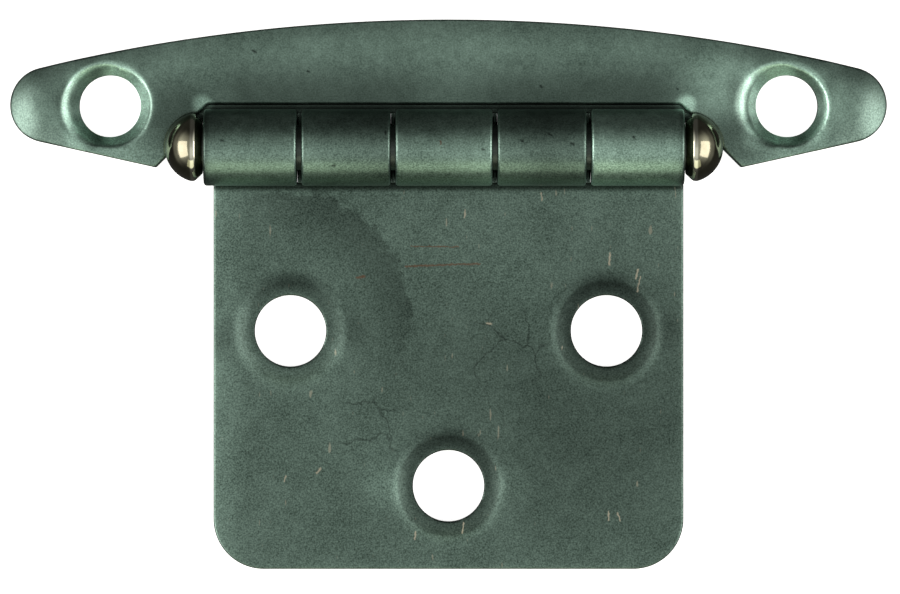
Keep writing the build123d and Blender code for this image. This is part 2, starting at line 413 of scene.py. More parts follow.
wing = {
    "end": 35.0,
    "rise": 10.22,
    "arcRadius": 140.0,
    "endRadius": 3.0,
    "height": 2.2,
    "crownDrop": (0.4, 0.12),
    "crownReach": (5.0, 3.2),
    "earFallFrom": 28.3,
    "earFall": 0.012,
    "longRoll": 0.12,
    "endRoll": 2.6,
    "endRollRise": 0.75,
    "endMiddle": 3.43,
    "endSide": 0.7,
    "innerRound": 0.3,
    "shoulderY": 3.41,
    "earCorner": (23.36, -1.56),
    "notchRadius": 2.67,
    "notchCenter": 19.414,
    "holeX": 27.0,
    "holeY": 3.33,
    "holeRadius": 2.47,
    "coneTilt": 44.0,
    "tightRim": (3.55, 0.4),
    "wideRim": (4.8, 2.25),
    "wideTowards": (-0.97, 0.24),
    "foot": 3.42,
    "footSlope": math.tan(math.radians(41)),
    "backRim": (1.15, 1.4),
    # How far in from the edges the sheet gets rows of points, and the radii of those round a hole
    "insets": (0.015, 0.045, 0.09, 0.15, 0.22, 0.3, 0.4, 0.52, 0.66, 0.82, 1.0, 1.15, 1.4, 1.65, 1.9, 2.2),
    "ringRadii": (
        2.56, 2.68, 2.8, 2.9, 3.0, 3.1, 3.2, 3.3, 3.4, 3.5, 3.6, 3.7, 3.8, 3.9, 4.0, 4.12, 4.25, 4.4,
    ),
    "gridStep": 0.45,
}


def wingHalf(shift):
    # One half of the outline as if it were the right one, with its barrel end moved out by the shift:
    # the inner side from the lower middle to the ear's corner, then the outer side
    w = wing
    notch = (w["notchCenter"] + shift, 0)
    corner = w["earCorner"]
    slantX = barrel["end"] + 0.5 + shift
    slantBottom = (slantX, math.sqrt(w["notchRadius"] ** 2 - (slantX - notch[0]) ** 2))
    slantTop = (barrel["end"] - 0.25 + shift, w["shoulderY"])
    way = (math.cos(math.radians(135)), math.sin(math.radians(135)))
    off = (corner[0] - notch[0], corner[1])
    along = off[0] * way[0] + off[1] * way[1]
    reach = -along - math.sqrt(along**2 - off[0] ** 2 - off[1] ** 2 + w["notchRadius"] ** 2)
    chamferEnd = (corner[0] + reach * way[0], corner[1] + reach * way[1])
    arcY = w["rise"] - w["arcRadius"]
    endX = w["end"] - w["endRadius"]
    endY = arcY + math.sqrt((w["arcRadius"] - w["endRadius"]) ** 2 - endX**2)
    toEnd = (endX - corner[0], endY - corner[1])
    tangent = math.sqrt(math.hypot(*toEnd) ** 2 - w["endRadius"] ** 2)
    edgeAngle = math.degrees(math.atan2(toEnd[1], toEnd[0]) - math.atan2(w["endRadius"], tangent))
    edgeEnd = polarPoint((endX, endY), w["endRadius"], edgeAngle - 90)
    topAngle = math.degrees(math.atan2(endY - arcY, endX))
    turnStart = math.degrees(math.atan2(slantBottom[1], slantBottom[0] - notch[0]))
    turnEnd = math.degrees(math.atan2(chamferEnd[1], chamferEnd[0] - notch[0]))
    shoulderCorner = cornerPoints((0, w["shoulderY"]), slantTop, slantBottom, 0.5, 0.08)
    earCorner = cornerPoints(chamferEnd, corner, edgeEnd, 0.2, 0.08)
    inner = joined(
        linePoints((0, w["shoulderY"]), shoulderCorner[0], 0.3),
        shoulderCorner,
        linePoints(shoulderCorner[-1], slantBottom, 0.12),
        arcPoints(notch, w["notchRadius"], turnStart, turnEnd, 0.15),
        linePoints(chamferEnd, earCorner[0], 0.15),
        earCorner,
    )
    outer = joined(
        linePoints(earCorner[-1], edgeEnd, 0.22),
        arcPoints((endX, endY), w["endRadius"], edgeAngle - 90, topAngle, 0.16),
        arcPoints((0, arcY), w["arcRadius"], topAngle, 90, 0.3),
    )
    return inner, outer


def mirrored(run):
    # The same run on the other side, still in turn round the outline
    return [(-x, y) for x, y in reversed(run)]


def segments(*runs):
    # The starts and the ends of all straight pieces of the runs
    runs = [np.array(run) for run in runs]
    return np.concatenate([run[:-1] for run in runs]), np.concatenate([run[1:] for run in runs])


def buildWing(tree, finish):
    # The pillow, its three knuckles and the strap that joins them
    w = wing
    rightInner, rightOuter = wingHalf(barrel["shift"])
    leftInner, leftOuter = wingHalf(-barrel["shift"])
    outline = joined(rightInner, rightOuter, mirrored(joined(leftInner, leftOuter)))[:-1]
    innerStart, innerEnd = segments(rightInner, mirrored(leftInner))
    outerStart, outerEnd = segments(rightOuter, mirrored(leftOuter))
    lowRuns = [[point for point in run if point[1] < 1.2] for run in (rightOuter, mirrored(leftOuter))]
    lowStart, lowEnd = segments(*lowRuns)
    tilt = math.radians(w["coneTilt"])

    def holeOffset(points):
        # From the nearer screw hole's middle to each point
        side = np.where(points[:, 0] < 0, -1, 1)
        return points - np.column_stack([side * w["holeX"], np.full(len(points), w["holeY"])])

    def crown(points):
        # Falls gently towards the long edge and the ears' lower edges, and more towards the ends
        long = w["arcRadius"] - np.hypot(points[:, 0], points[:, 1] - w["rise"] + w["arcRadius"])
        lower = distanceTo(points, lowStart, lowEnd)
        fall = 0
        for depth, drop, reach in zip((long, lower), w["crownDrop"], w["crownReach"]):
            fall = fall + drop * (1 - np.clip(depth / reach, 0, 1)) ** 2
        far = np.abs(points[:, 0])
        past = np.clip(far - w["earFallFrom"], 0, None)
        offY = w["endSide"] * (points[:, 1] - w["endMiddle"]) * easeStep(28.5, 33.0, far)
        offEnd = np.hypot(np.clip(far - w["end"] + w["endRadius"], 0, None), offY)
        turned = np.clip((offEnd - w["endRadius"]) / w["endRoll"] + 1, 0, 1)
        return w["height"] - fall - w["earFall"] * past**2 - w["endRollRise"] * turned**2

    def rounded(height, depth, radius, rise):
        # The height, with a round of this reach and rise along the edge
        inward = np.clip(1 - depth / radius, 0, 1)
        return height - rise + rise * np.sqrt(1 - inward**2)

    def dimpleHeight(points):
        # A cone up to a round shoulder, wide on one side of the hole and tight on the other
        offset = holeOffset(points)
        r = np.linalg.norm(offset, axis=1)
        towards = np.clip(offset @ np.array(w["wideTowards"]) / (r + 1e-9), 0, 1) ** 0.6
        rim = w["tightRim"][0] + (w["wideRim"][0] - w["tightRim"][0]) * towards
        shoulder = w["tightRim"][1] + (w["wideRim"][1] - w["tightRim"][1]) * towards
        coneEnd = rim - shoulder * math.sin(tilt)
        cone = w["height"] - shoulder * (1 - math.cos(tilt)) - (coneEnd - r) * math.tan(tilt)
        inward = np.clip(rim - r, 0, shoulder)
        curve = w["height"] - shoulder + np.sqrt(np.clip(shoulder**2 - inward**2, 0, None))
        beyond = w["height"] + (r - rim) * 0.5
        return np.where(r < coneEnd, cone, np.where(r < rim, curve, beyond))

    def frontHeight(points):
        whole = crown(points)
        top = rounded(whole, distanceTo(points, outerStart, outerEnd), w["longRoll"], w["longRoll"])
        depth = distanceTo(points, innerStart, innerEnd)
        top = np.minimum(top, rounded(whole, depth, w["innerRound"], 0.8 * w["innerRound"]))
        return smoothLower(top, dimpleHeight(points), 0.1)

    def backHeight(points):
        # A rim the sheet's thickness wide, a hollow behind the crown, and the dimples' feet
        outer = distanceTo(points, outerStart, outerEnd)
        depth = np.minimum(outer, distanceTo(points, innerStart, innerEnd))
        under = crown(points) - barrel["sheet"]
        foot = np.clip((np.linalg.norm(holeOffset(points), axis=1) - w["foot"]) / w["footSlope"], 0, None)
        return np.minimum(under, foot) * easeStep(*w["backRim"], depth)

    holes = [((x, w["holeY"]), w["holeRadius"]) for x in (-w["holeX"], w["holeX"])]
    pillow = pressedSheet(
        "wing pillow", outline, holes, w["insets"], w["ringRadii"], w["gridStep"], frontHeight, backHeight)
    knuckles = knuckleMesh(tree, barrel["wingRuns"], 0, finish, "wing knuckles")
    shift, end = barrel["shift"], barrel["end"]
    strap = stripMesh("wing strap", shift - end - 0.5, shift + end + 0.5, 2.74, 4.2, 0.01, 1.19)
    meshes = [pillow, knuckles, strap] + slotFeet(1)
    for side in (-1, 1):
        # The strap runs on a little behind each tip, and the painted fold shade darkens it there into a dark
        # gap
        near, far = sorted((side * (end + 0.1), side * (end + 1.25)))
        meshes.append(stripMesh("strap end", near + shift, far + shift, 2.0, 3.0, 0.02, 1.18))
    finishedPiece("frameWingSheet", meshes, finish, "wing", "frame_wing")


# Leaf: flat plate with three raised dimples

leaf = {
    "halfWidth": 18.75,
    "reach": 33.6,
    "rootY": -2.733,
    "cornerRadius": 4.0,
    "sheet": 1.2,
    "edgeRound": 0.18,
    "holes": ((-12.6, -14.6), (12.6, -14.6), (0.0, -26.95)),
    "holeRadius": 2.84,
    "headRadius": 3.9,
    "lift": 0.38,
    "flare": 4.9,
    "lip": 3.05,
    "lipRound": 0.12,
    "headSlope": math.tan(math.radians(41)),
    # As for the wing
    "insets": (0.02, 0.05, 0.1, 0.18),
    "ringRadii": (2.88, 2.92, 2.98, 3.08, 3.2, 3.35, 3.5, 3.65, 3.8, 3.9, 4.05, 4.2, 4.4, 4.6, 4.8),
    "gridStep": 0.6,
}


def buildLeaf(tree, finish):
    # The plate with its dimples, and its two knuckles
    f = leaf
    x, low, r = f["halfWidth"], -f["reach"], f["cornerRadius"]
    outline = joined(
        linePoints((x, f["rootY"]), (-x, f["rootY"]), 0.35),
        linePoints((-x, f["rootY"]), (-x, low + r), 0.35),
        arcPoints((-x + r, low + r), r, 180, 270, 0.2),
        linePoints((-x + r, low), (x - r, low), 0.35),
        arcPoints((x - r, low + r), r, 270, 360, 0.2),
        linePoints((x, low + r), (x, f["rootY"]), 0.35),
    )[:-1]
    loop = np.array(outline)
    start, end = loop, np.roll(loop, -1, 0)

    def holeDistance(points):
        return np.min([np.hypot(points[:, 0] - a, points[:, 1] - b) for a, b in f["holes"]], axis=0)

    def frontHeight(points):
        depth = np.clip(f["edgeRound"] - distanceTo(points, start, end), 0, f["edgeRound"])
        edge = np.sqrt(f["edgeRound"] ** 2 - depth**2) - f["edgeRound"]
        r = holeDistance(points)
        rise = 1 - np.clip((r - f["lip"]) / (f["flare"] - f["lip"]), 0, 1)
        bump = f["lift"] * easeStep(0, 1, rise)
        lip = f["lipRound"]
        inward = np.clip(f["holeRadius"] + lip - r, 0, lip)
        lipFall = lip - np.sqrt(np.clip(lip**2 - inward**2, 0, None))
        return f["sheet"] + edge + bump - lipFall

    def backHeight(points):
        # Flat, but for a countersink at each hole
        return np.clip((f["headRadius"] - holeDistance(points)) / f["headSlope"], 0, None)

    holes = [(center, f["holeRadius"]) for center in f["holes"]]
    plate = pressedSheet(
        "leaf plate", outline, holes, f["insets"], f["ringRadii"], f["gridStep"], frontHeight, backHeight)
    knuckles = knuckleMesh(tree, barrel["leafRuns"], 180, finish, "leaf knuckles")
    meshes = [plate, knuckles] + slotFeet(-1)
    finishedPiece("doorLeafSheet", meshes, finish, "leaf", "door_leaf")


# Button tips: turned, polished, pressed on the pin's ends, measured from the barrel's middle

tip = {
    "backX": 19.2,
    "backRadius": 2.1,
    "bandX": 19.8,
    "bandRadius": 2.66,
    "ridgeX": 20.1,
    "radius": 2.7,
    "endX": 22.2,
    "boreRadius": 1.25,
    "around": 96,
}


def buildTip(name, node, side, finish):
    # Half of the tip's outline, turned about the pin
    t = tip
    depth = t["endX"] - t["ridgeX"]
    domeRadius = (t["radius"] ** 2 + depth**2) / (2 * depth)
    center = t["endX"] - domeRadius
    ridgeAngle = math.degrees(math.atan2(t["radius"], t["ridgeX"] - center))
    dome = [polarPoint((center, 0), domeRadius, a) for a in np.linspace(0, ridgeAngle - 2.5, 30)]
    bandCorner, backCorner = (t["bandX"], t["bandRadius"]), (t["backX"], t["backRadius"])
    ridge = cornerPoints(dome[-2], (t["ridgeX"] - 0.02, t["radius"]), bandCorner, 0.8, 0.03)
    band = cornerPoints(ridge[-1], bandCorner, backCorner, 0.4, 0.03)
    back = cornerPoints(band[-1], backCorner, (t["backX"], 0), 0.08, 0.03)
    profile = joined(dome[:-1], ridge, band, back, [(t["backX"], t["boreRadius"])])
    work = bmesh.new()
    axis = barrel["radius"] * mm
    turns = [2 * math.pi * i / t["around"] for i in range(t["around"])]
    rings = []
    for x, radius in profile:
        along, r = (side * x + barrel["shift"]) * mm, radius * mm
        places = [(along, r * math.cos(a), axis + r * math.sin(a)) for a in turns]
        if radius < 1e-6:
            places = [(along, 0, axis)]
        rings.append([work.verts.new(place) for place in places])
    for first, second in zip(rings, rings[1:]):
        for i in range(t["around"]):
            j = (i + 1) % t["around"]
            if len(first) == 1:
                work.faces.new((first[0], second[i], second[j]))
            else:
                work.faces.new((first[i], first[j], second[j], second[i]))
    work.faces.new(rings[-1])
    bmesh.ops.recalc_face_normals(work, faces=work.faces)
    mesh = bpy.data.meshes.new(name)
    work.to_mesh(mesh)
    work.free()
    finishedPiece(name, [mesh], finish, "wing", node, 60)


# Finishes

def newMaterial(name):
    # A bare metal, with its tree, its shader and the place on the piece
    material = bpy.data.materials.new(name)
    material.use_nodes = True
    tree = material.node_tree
    shader = tree.nodes["Principled BSDF"]
    shader.inputs["Metallic"].default_value = 1.0
    return material, tree, shader, addNode(tree, "ShaderNodeTexCoord").outputs["Object"]


def perMetre(millimetres):
    # A noise scale whose features are about this wide
    return 1000.0 / millimetres


satin = {
    "dark": "#2b3e34",
    "light": "#9db8ab",
    "bareMetal": "#b3ab98",
    "rustColor": "#6d4a36",
    "pitColor": "#161d1a",
    "grain": 0.13,
    "mottle": 0.8,
    "cloud": 7.0,
    "roughness": (0.32, 0.41),
    "brightest": 2.5,
    # Values that ease from one to another along X, Y or Z, or along the distance from 0 of X or Y:
    # along which, from, to, the value up to there and the value beyond
    "shares": {
        "leafDull": ("Y", -3.6, -2.9, 0.63, 1.0),
        "leftEdge": ("X", -18.9, -15.5, 1.45, 1.0),
        # Painted shade on the wing towards the barrel, narrowed by the next two shares
        "shadeTowardsBarrel": ("Y", 4.4, 8.6, 0.62, 0.0),
        "awayFromEnds": ("offX", 16.0, 21.0, 1.0, 0.0),
        "besideMiddle": ("offX", 0.5, 5.0, 0.72, 1.0),
        "inFromLow": ("Y", 3.1, 6.5, 0.0, 1.0),
        "onEar": ("offX", 21.0, 27.0, 0.0, 1.0),
        # Painted highlight and painted shade across the countersink walls
        "coneWallLight": ("offX", 25.8, 28.2, 3.3, 0.6),
        "notLow": ("Y", 0.0, 1.3, 0.0, 1.0),
        # The next two shares bound the painted shade in the fold along the barrel
        "inFold": ("offY", 3.15, 3.6, 1.0, 0.0),
        "lowDown": ("Z", 1.3, 2.1, 0.8, 0.0),
    },
    # Sharp limits: 1 where that measure is below or above this, 0 elsewhere
    "limits": {
        "onLeaf": ("LESS_THAN", "Y", -3.1),
        "offLeaf": ("GREATER_THAN", "Y", -3.1),
        "onWing": ("GREATER_THAN", "Y", 3.1),
        "offWing": ("LESS_THAN", "Y", 3.1),
        "highUp": ("GREATER_THAN", "Z", 2.3),
        "alongBarrel": ("LESS_THAN", "offX", 20.8),
    },
    # Painted highlight and painted shade in from the wing's long edge, by distance from its arc's middle:
    # from, to, values
    "edgeLightAndShade": (138.0, 139.9, 1.12, 0.85),
    "earLightAndShade": (136.6, 139.9, 1.22, 0.6),
    # Where a countersink's wall ends, by distance from its hole's middle: from, to, values
    "cone": (2.9, 3.25, 1.0, 0.0),
    # Brightness kept along the barrel, with painted shade at its two ends: place, share
    "knuckles": (
        (-19.45, 0.25), (-18.9, 0.62), (-12, 0.58), (-8, 0.5), (-4.6, 0.4), (-4.1, 0.6), (1.5, 0.66),
        (3.3, 0.8), (3.7, 0.56), (7.6, 0.36), (10.9, 0.42), (11.2, 0.92), (18.2, 0.84), (18.75, 0.3),
    ),
    # Dark rub rings round the leaf's holes: place, and how much of the light is kept
    "rings": ((-12.6, -14.6, 0.8), (12.6, -14.6, 0.5), (0.0, -26.95, 0.52)),
    "ringFade": (3.85, 4.25),
    # Painted highlight round the wing's countersink shoulders: side step, radius, fade, gain
    "shoulder": (-0.17, 3.37, (0.08, 0.42), 1.0),
    # Soft spots on the plate, painted highlights and painted shade for the most part: place, reach, and how
    # much of the light is kept in the middle
    "lightAndShadeSpots": (
        (-21.5, 2.4, 5.0, 0.42),
        (23.2, 0.6, 4.0, 0.5),
        (21.5, 5.2, 4.0, 1.35),
        (-19.6, 3.4, 1.1, 3.6),
        (18.9, 3.4, 1.1, 3.6),
        (-26.8, 7.0, 2.4, 1.5),
        (27.4, 6.8, 2.4, 1.5),
        (-29.4, 5.8, 1.6, 1.7),
        (-29.5, 0.9, 1.6, 2.2),
        (24.4, 6.0, 1.7, 1.3),
        (24.5, 0.9, 1.6, 2.0),
        (29.3, 5.7, 1.5, 1.7),
        (29.3, 1.1, 1.5, 1.6),
        (31.3, 3.6, 2.6, 1.2),
        (-30.6, 3.8, 1.7, 0.62),
        (23.2, 4.5, 1.7, 0.6),
        (-34.5, 3.5, 4.2, 0.72),
        (34.5, 3.5, 4.2, 0.66),
        (-31.8, 0.0, 3.4, 0.6),
        (31.8, 0.0, 3.4, 0.66),
        (-17.6, -15.2, 2.6, 0.72),
        (-7.8, -14.6, 2.2, 0.75),
        (7.4, -14.8, 2.6, 1.1),
        (17.4, -14.6, 2.2, 0.7),
        (-5.0, -27.0, 2.6, 1.35),
        (5.0, -26.8, 2.2, 1.2),
        (6.0, -11.0, 5.0, 1.15),
        (12.0, -20.0, 17.0, 0.66),
        (-2.0, -17.0, 9.0, 0.86),
    ),
    # The drop stain: its middle, how uneven it is, the distances over which its edge ends and its ring
    # gathers, where along X + Y it darkens, and how dark it gets
    "stain": {
        "x": -13.0,
        "y": -13.5,
        "wobble": 3.2,
        "edge": (9.7, 10.35),
        "ring": (4.5, 9.8),
        "slant": (-23, -15),
        "dark": 0.36,
    },
    # Where fine cracks show in the plating: place and reach
    "crazed": ((4.6, -16.2, 4.2), (-6.3, -22.4, 3.4)),
    # Short bright scratches down to bare metal: from, to, width
    "scratches": (
        ((12.87, -8.4), (12.84, -9.3), 0.12),
        ((15.1, -9.7), (14.95, -10.5), 0.1),
        ((15.3, -10.3), (15.05, -11.5), 0.09),
        ((7.4, -3.6), (7.45, -4.2), 0.09),
        ((1.35, -4.9), (1.3, -5.6), 0.08),
        ((3.1, -14.0), (3.4, -14.05), 0.14),
        ((-10.2, -25.6), (-10.5, -25.95), 0.14),
        ((-13.0, -26.2), (-13.1, -26.6), 0.1),
        ((12.8, -29.0), (12.75, -29.7), 0.09),
        ((13.5, -29.1), (13.7, -29.8), 0.09),
        ((1.2, -29.9), (1.1, -30.7), 0.1),
        ((-2.6, -30.6), (-2.7, -31.2), 0.1),
    ),
    # Brown streaks of rust, and specks of it: from, to, width
    "rust": (
        ((-3.4, -9.45), (2.5, -9.25), 0.13),
        ((-3.0, -7.85), (0.8, -7.9), 0.08),
        ((-7.3, -10.35), (-6.7, -10.25), 0.16),
        ((-0.62, 0.4), (-0.6, 0.2), 0.14),
    ),
    # Small dark pits on the barrel and the wing: from, to, width
    "pits": (
        ((-18.0, 0.5), (-17.85, 0.45), 0.16),
        ((-5.0, 1.25), (-4.95, 1.0), 0.14),
        ((2.7, -0.2), (2.85, -0.25), 0.16),
        ((5.75, 0.5), (5.9, 0.45), 0.18),
        ((7.9, 1.0), (8.15, 0.95), 0.13),
        ((9.7, 0.25), (9.9, 0.2), 0.15),
        ((-9.2, -1.5), (-9.0, -1.5), 0.14),
        ((14.6, 0.75), (14.75, 0.7), 0.13),
        ((-15.6, 7.7), (-15.35, 7.6), 0.17),
        ((-11.2, 6.1), (-11.1, 6.05), 0.14),
        ((7.3, 4.9), (7.45, 4.8), 0.14),
        ((18.2, 4.7), (18.3, 4.65), 0.13),
    ),
}


def linkSurface(tree, shader, color, cloudy, roughness, height, strength):
    # The color, a roughness that follows a noise, and a very fine relief
    tree.links.new(color, shader.inputs["Base Color"])
    low, high = roughness
    rough = addNode(tree, "ShaderNodeMapRange", None, {
        "Value": cloudy, "From Min": 0.3, "From Max": 0.7, "To Min": low, "To Max": high}).outputs[0]
    tree.links.new(rough, shader.inputs["Roughness"])
    relief = addNode(tree, "ShaderNodeBump", None, {
        "Height": height, "Strength": strength, "Distance": 0.01 * mm}).outputs[0]
    tree.links.new(relief, shader.inputs["Normal"])


def markTree():
    # How much of a short straight mark covers a place: 1 on it, 0 away from it
    tree = bpy.data.node_groups.new("short mark", "ShaderNodeTree")
    for name in ("Place", "From", "To"):
        treeInput(tree, name, "NodeSocketVector")
    treeInput(tree, "Width", "NodeSocketFloat", 0.0)
    tree.interface.new_socket("Cover", in_out="OUTPUT", socket_type="NodeSocketFloat")
    given = addNode(tree, "NodeGroupInput").outputs
    dot = {"operation": "DOT_PRODUCT"}
    offset = addNode(tree, "ShaderNodeVectorMath", minus, {0: given["Place"], 1: given["From"]}).outputs[0]
    way = addNode(tree, "ShaderNodeVectorMath", minus, {0: given["To"], 1: given["From"]}).outputs[0]
    along = addNode(tree, "ShaderNodeVectorMath", dot, {0: offset, 1: way}).outputs["Value"]
    square = addNode(tree, "ShaderNodeVectorMath", dot, {0: way, 1: way}).outputs["Value"]
    share = addNode(tree, "ShaderNodeMath", {"operation": "DIVIDE", "use_clamp": True}, {
        0: along, 1: square}).outputs[0]
    nearest = addNode(tree, "ShaderNodeVectorMath", scaled, {0: way, "Scale": share}).outputs[0]
    gap = addNode(tree, "ShaderNodeVectorMath", distance, {0: offset, 1: nearest}).outputs["Value"]
    cover = addNode(tree, "ShaderNodeMapRange", smooth, {
        "Value": gap, "From Min": 0.0, "From Max": given["Width"], "To Min": 1.0, "To Max": 0.0}).outputs[0]
    addNode(tree, "NodeGroupOutput", None, {"Cover": cover})
    return tree


def softSpot(tree, flat, x, y, near, far, inside, outside=1.0):
    # Fades from one value to the other between two distances from a place on the sheet
    gap = addNode(tree, "ShaderNodeVectorMath", distance, {0: flat, 1: (x * mm, y * mm, 0)}).outputs["Value"]
    return addNode(tree, "ShaderNodeMapRange", smooth, {
        "Value": gap, "From Min": near * mm, "From Max": far * mm, "To Min": inside, "To Max": outside,
    }).outputs[0]


def whereabouts(tree, place):
    # Where a spot lies, with the shares and limits that follow from it
    axes = addNode(tree, "ShaderNodeSeparateXYZ", None, {0: place}).outputs
    at = {axis: axes[axis] for axis in ("X", "Y", "Z")}
    for axis in ("X", "Y"):
        at["off" + axis] = addNode(tree, "ShaderNodeMath", absolute, {0: axes[axis]}).outputs[0]
    at["flat"] = addNode(tree, "ShaderNodeVectorMath", times, {0: place, 1: (1, 1, 0)}).outputs[0]
    for name, (axis, low, high, atLow, atHigh) in satin["shares"].items():
        at[name] = addNode(tree, "ShaderNodeMapRange", smooth, {
            "Value": at[axis], "From Min": low * mm, "From Max": high * mm,
            "To Min": atLow, "To Max": atHigh}).outputs[0]
    for name, (operation, axis, edge) in satin["limits"].items():
        at[name] = addNode(tree, "ShaderNodeMath", {"operation": operation}, {
            0: at[axis], 1: edge * mm}).outputs[0]
    return at


def knuckleToneAndEndShade(tree, at):
    # Brightness kept along the barrel, a little different on each knuckle, with painted shade at both of its
    # ends that hides the highlights on the end rims
    along = addNode(tree, "ShaderNodeMapRange", None, {
        "Value": at["X"], "From Min": -20 * mm, "From Max": 20 * mm}).outputs[0]
    ramp = addNode(tree, "ShaderNodeValToRGB", None, {"Fac": along})
    while len(ramp.color_ramp.elements) < len(satin["knuckles"]):
        ramp.color_ramp.elements.new(0.5)
    for element, (x, kept) in zip(ramp.color_ramp.elements, satin["knuckles"]):
        element.position = x / 40 + 0.5
        element.color = (kept, kept, kept, 1)
    kept = product(tree, (ramp.outputs["Color"], 1.6))
    onBarrel = product(tree, (at["offWing"], at["offLeaf"], at["highUp"]))
    return addNode(tree, "ShaderNodeMix", mixValue, {
        "Factor": onBarrel, "A": 1.0, "B": kept}).outputs["Result"]


def wingTone(tree, at):
    # Painted shade: the wing darkens towards the barrel, where the barrel shades it, less so at its middle
    # and not at its ears
    shares = ("shadeTowardsBarrel", "awayFromEnds", "besideMiddle", "onWing")
    barrelShade = product(tree, [at[name] for name in shares])
    tones = [addNode(tree, "ShaderNodeMath", minus, {0: 1.0, 1: barrelShade}).outputs[0]]

    # Painted highlight and painted shade: paler two millimetres in from the long edge and paler still on the
    # ears, darker at that edge itself
    arcMiddle = wing["rise"] - wing["arcRadius"]
    for share, name in (("inFromLow", "edgeLightAndShade"), ("onEar", "earLightAndShade")):
        tone = softSpot(tree, at["flat"], 0, arcMiddle, *satin[name])
        tones.append(addNode(tree, "ShaderNodeMix", mixValue, {
            "Factor": at[share], "A": 1.0, "B": tone}).outputs["Result"])

    # Painted highlight and painted shade on the countersinks: bright on the side that faces out and dull on
    # the side that faces in,
    #  and a painted highlight round their shoulders but for the lower side
    sideStep, ringRadius, fade, gain = satin["shoulder"]
    inCone, paintedHighlight = 0.0, 1.0
    for x in (-wing["holeX"], wing["holeX"]):
        cone = softSpot(tree, at["flat"], x, wing["holeY"], *satin["cone"])
        inCone = addNode(tree, "ShaderNodeMath", plus, {0: cone, 1: inCone}).outputs[0]
        middle = ((x + sideStep) * mm, wing["holeY"] * mm, 0)
        gap = addNode(tree, "ShaderNodeVectorMath", distance, {0: at["flat"], 1: middle}).outputs["Value"]
        gap = addNode(tree, "ShaderNodeMath", minus, {0: gap, 1: ringRadius * mm}).outputs[0]
        gap = addNode(tree, "ShaderNodeMath", absolute, {0: gap}).outputs[0]
        ring = addNode(tree, "ShaderNodeMapRange", smooth, {
            "Value": gap, "From Min": fade[0] * mm, "From Max": fade[1] * mm, "To Min": gain, "To Max": 0.0,
        }).outputs[0]
        paintedHighlight = addNode(tree, "ShaderNodeMath", timesPlus, {0: ring, 1: at["notLow"], 2: paintedHighlight}).outputs[0]
    walls = addNode(tree, "ShaderNodeMix", mixValue, {
        "Factor": inCone, "A": 1.0, "B": at["coneWallLight"]}).outputs["Result"]
    return product(tree, tones + [walls, paintedHighlight])


def dropStain(tree, at, mottle):
    # Old stain on the leaf: a round drop mark whose upper right rim dried darkest
    s = satin["stain"]
    wobble = addNode(tree, "ShaderNodeMath", timesPlus, {
        0: mottle, 1: s["wobble"] * mm, 2: -s["wobble"] / 2 * mm}).outputs[0]
    middle = (s["x"] * mm, s["y"] * mm, 0)
    reach = addNode(tree, "ShaderNodeVectorMath", distance, {0: at["flat"], 1: middle}).outputs["Value"]
    reach = addNode(tree, "ShaderNodeMath", plus, {0: reach, 1: wobble}).outputs[0]
    slant = addNode(tree, "ShaderNodeMath", plus, {0: at["X"], 1: at["Y"]}).outputs[0]
    shares = [at["onLeaf"]]
    for value, (low, high), atLow, atHigh in (
            (reach, s["edge"], 1.0, 0.0), (reach, s["ring"], 0.0, 1.0), (slant, s["slant"], 0.0, s["dark"])):
        shares.append(addNode(tree, "ShaderNodeMapRange", smooth, {
            "Value": value, "From Min": low * mm, "From Max": high * mm, "To Min": atLow, "To Max": atHigh,
        }).outputs[0])
    return product(tree, shares)


def fineCracks(tree, flat):
    # Fine cracks in the plating, in a few patches only
    bent = addNode(tree, "ShaderNodeTexNoise", None, {
        "Vector": flat, "Scale": perMetre(2.0), "Detail": 3.0}).outputs["Color"]
    bent = addNode(tree, "ShaderNodeVectorMath", scaled, {0: bent, "Scale": 2.6 * mm}).outputs[0]
    bent = addNode(tree, "ShaderNodeVectorMath", plus, {0: flat, 1: bent}).outputs[0]
    cells = {"feature": "DISTANCE_TO_EDGE", "voronoi_dimensions": "2D"}
    line = addNode(tree, "ShaderNodeTexVoronoi", cells, {
        "Vector": bent, "Scale": perMetre(4.5)}).outputs["Distance"]
    line = addNode(tree, "ShaderNodeMapRange", None, {
        "Value": line, "From Min": 0.008, "From Max": 0.024, "To Min": 0.42, "To Max": 0.0}).outputs[0]
    patch = 0.0
    for x, y, size in satin["crazed"]:
        spot = softSpot(tree, flat, x, y, size * 0.6, size, 1.0, 0.0)
        patch = addNode(tree, "ShaderNodeMath", plus, {0: spot, 1: patch}).outputs[0]
    return product(tree, (line, patch))


def markCovers(tree, flat):
    # The placed scratches, rust and pits, their lines a little shaken
    shake = addNode(tree, "ShaderNodeTexNoise", None, {
        "Vector": flat, "Scale": perMetre(0.3), "Detail": 2.0}).outputs["Color"]
    shake = addNode(tree, "ShaderNodeVectorMath", scaled, {0: shake, "Scale": 0.25 * mm}).outputs[0]
    shaken = addNode(tree, "ShaderNodeVectorMath", plus, {0: flat, 1: shake}).outputs[0]
    # The shake moves marks by half its size on the average
    half = (0.125 * mm, 0.125 * mm, 0.125 * mm)
    shaken = addNode(tree, "ShaderNodeVectorMath", minus, {0: shaken, 1: half}).outputs[0]
    shaken = addNode(tree, "ShaderNodeVectorMath", times, {0: shaken, 1: (1, 1, 0)}).outputs[0]
    group = markTree()
    covers = {}
    for kind in ("scratches", "rust", "pits"):
        cover = 0.0
        for (x1, y1), (x2, y2), width in satin[kind]:
            one = addNode(tree, "ShaderNodeGroup", {"node_tree": group}, {
                "Place": shaken, "Width": width * mm,
                "From": (x1 * mm, y1 * mm, 0), "To": (x2 * mm, y2 * mm, 0)}).outputs[0]
            cover = addNode(tree, "ShaderNodeMath", most, {0: cover, 1: one}).outputs[0]
        covers[kind] = cover
    return covers


